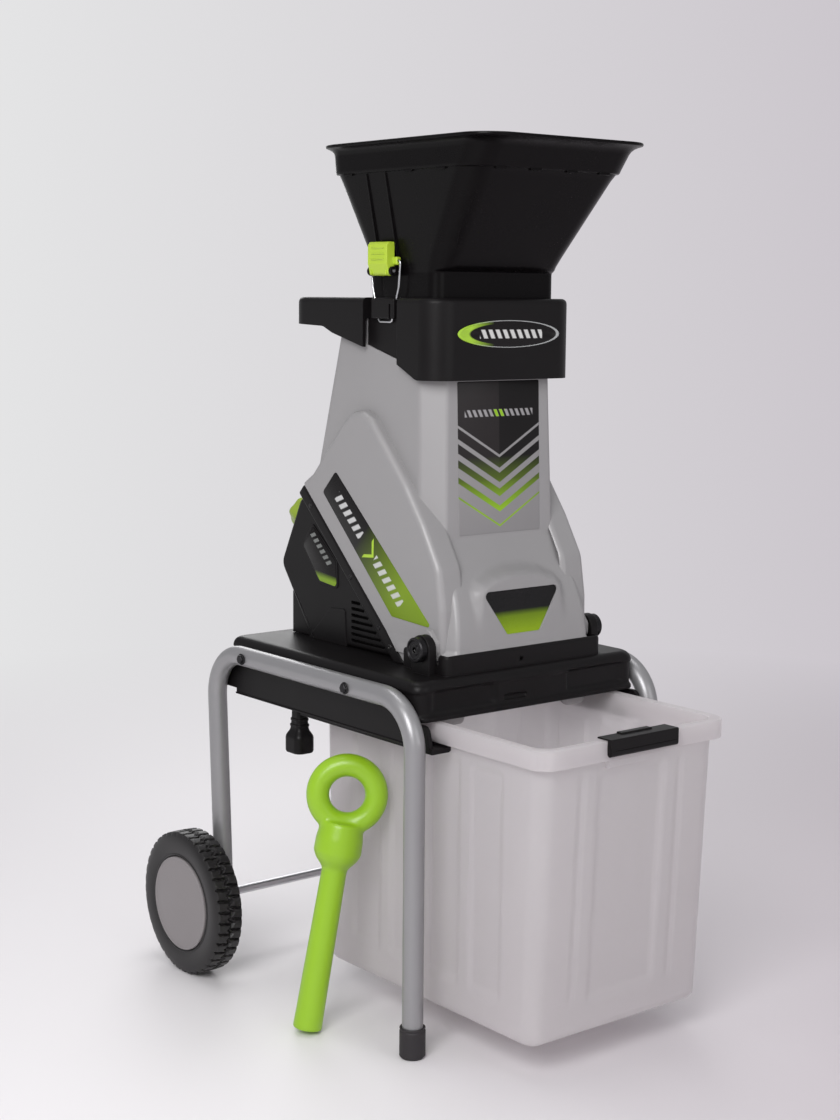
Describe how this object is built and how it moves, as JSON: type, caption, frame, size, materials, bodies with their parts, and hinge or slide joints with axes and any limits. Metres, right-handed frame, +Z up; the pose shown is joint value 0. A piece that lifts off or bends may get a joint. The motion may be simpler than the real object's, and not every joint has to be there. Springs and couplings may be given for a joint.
{
  "type": "wood chipper",
  "caption": "Electric garden wood chipper on a wheeled tube stand, with feed hopper, tilting upper housing, pull-out collection bin and hand tamper.",
  "frame": {"origin": "on the floor, midway between the two side frames, and midway between the rear of the wheels and the front of the bin clip", "axes": "+Z up, -Y towards the front, where the bin pulls out, +X to the right of a person looking along +Y at the front"},
  "size_m": [0.56, 0.726, 1.137],
  "materials": {
    "frame_tube": "satin silver paint",
    "rubber": "matte",
    "dark_steel": "black oxide",
    "steel": "bright",
    "black_plastic": "fine moulded grain",
    "gloss_black": "semi-gloss",
    "winding": "varnished copper winding",
    "tyre": "ribbed rubber-like plastic",
    "hub_grey": "satin",
    "silver_plastic": "satin silver",
    "badge": "black fading to lime",
    "latch_green": "satin",
    "bin_plastic": "milky translucent",
    "cast_metal": "machined",
    "red_button": "gloss",
    "lime_plastic": "satin"
  },
  "bodies": {
    "base": {"side_frame_left": "frame_tube", "side_frame_right": "frame_tube", "foot_left": "rubber", "foot_right": "rubber", "frame_bolt_left_front": "dark_steel", "frame_bolt_left_rear": "dark_steel", "frame_bolt_right_front": "dark_steel", "frame_bolt_right_rear": "dark_steel", "axle": "steel", "axle_nut_left": "steel", "axle_nut_right": "steel", "base_deck": "black_plastic", "chip_chute": "black_plastic", "bin_rail_left": "black_plastic", "bin_rail_right": "black_plastic", "motor_housing": "black_plastic", "motor_rear_cover": "black_plastic", "motor_stator": "winding", "bearing_upper": "steel", "bearing_lower": "steel", "switch_box": "black_plastic", "power_cord": "rubber", "power_plug": "black_plastic", "hinge_pin_left": "dark_steel", "hinge_pin_right": "dark_steel"},
    "wheel_left": {"tyre_left": "tyre", "wheel_hub_left": "black_plastic", "hub_cap_left": "hub_grey"},
    "wheel_right": {"tyre_right": "tyre", "wheel_hub_right": "black_plastic", "hub_cap_right": "hub_grey"},
    "upper_housing": {"tower_shell": "silver_plastic", "front_badge": "badge", "anvil": "steel", "collar": "black_plastic", "hopper": "gloss_black", "latch_pin_left": "steel", "latch_pin_right": "steel"},
    "latch_lever_left": {"latch_lever_left": "latch_green"},
    "latch_bail_left": {"latch_bail_left": "steel"},
    "latch_lever_right": {"latch_lever_right": "latch_green"},
    "latch_bail_right": {"latch_bail_right": "steel"},
    "bin": {"bin": "bin_plastic"},
    "bin_clip": {"bin_clip": "black_plastic"},
    "rotor": {"rotor_core": "cast_metal", "rotor_shaft": "steel", "cooling_fan": "gloss_black", "cutter_disc": "cast_metal", "blade_a": "steel", "blade_b": "steel", "blade_bolt_a1": "dark_steel", "blade_bolt_a2": "dark_steel", "blade_bolt_b1": "dark_steel", "blade_bolt_b2": "dark_steel", "disc_nut": "dark_steel"},
    "lock_knob": {"lock_knob": "latch_green"},
    "power_switch": {"power_switch": "gloss_black"},
    "reset_button": {"reset_button": "red_button"},
    "tamper": {"tamper": "lime_plastic"}
  },
  "joints": [
    {"name": "wheel_left_spin", "type": "hinge", "parent": "base", "child": "wheel_left", "pos_m": [-0.255, 0.263, 0.1], "axis": [1, 0, 0], "continuous": true},
    {"name": "wheel_right_spin", "type": "hinge", "parent": "base", "child": "wheel_right", "pos_m": [0.255, 0.263, 0.1], "axis": [1, 0, 0], "continuous": true},
    {"name": "housing_tilt", "type": "hinge", "parent": "base", "child": "upper_housing", "pos_m": [0, -0.108, 0.503], "axis": [1, 0, 0], "range_deg": [0, 36]},
    {"name": "latch_left_flip", "type": "hinge", "parent": "upper_housing", "child": "latch_lever_left", "pos_m": [-0.117, 0.013, 0.975], "axis": [0, -1, 0], "range_deg": [0, 150]},
    {"name": "latch_left_bail", "type": "hinge", "parent": "latch_lever_left", "child": "latch_bail_left", "pos_m": [-0.111, 0.013, 0.988], "axis": [0, -1, 0], "range_deg": [-165, 0]},
    {"name": "latch_right_flip", "type": "hinge", "parent": "upper_housing", "child": "latch_lever_right", "pos_m": [0.117, 0.013, 0.975], "axis": [0, 1, 0], "range_deg": [0, 150]},
    {"name": "latch_right_bail", "type": "hinge", "parent": "latch_lever_right", "child": "latch_bail_right", "pos_m": [0.111, 0.013, 0.988], "axis": [0, 1, 0], "range_deg": [-165, 0]},
    {"name": "bin_slide", "type": "slide", "parent": "base", "child": "bin", "axis": [0, -1, 0], "range_m": [-0.145, 0.25]},
    {"name": "bin_clip_swing", "type": "hinge", "parent": "bin", "child": "bin_clip", "pos_m": [0, -0.3593, 0.4036], "axis": [1, 0, 0], "range_deg": [0, 70]},
    {"name": "rotor_spin", "type": "hinge", "parent": "base", "child": "rotor", "pos_m": [0, 0.066, 0.5845], "axis": [0, -0.6884, 0.7254], "continuous": true},
    {"name": "lock_knob_turn", "type": "hinge", "parent": "base", "child": "lock_knob", "pos_m": [-0.078, 0.2215, 0.631], "axis": [0, 0.8942, 0.4478], "continuous": true},
    {"name": "power_switch_rock", "type": "hinge", "parent": "base", "child": "power_switch", "pos_m": [-0.08, 0.224, 0.502], "axis": [1, 0, 0], "range_deg": [-12, 12]},
    {"name": "reset_button_press", "type": "slide", "parent": "base", "child": "reset_button", "axis": [0, -1, 0], "range_m": [0, 0.004]},
    {"name": "tamper_take", "type": "slide", "parent": "base", "child": "tamper", "axis": [-1, 0, 0], "range_m": [0, 0.25]}
  ],
  "couplings": [
    {"joint": "latch_left_bail", "follows": "latch_left_flip", "ratio": -1.1},
    {"joint": "latch_right_bail", "follows": "latch_right_flip", "ratio": -1.1}
  ]
}
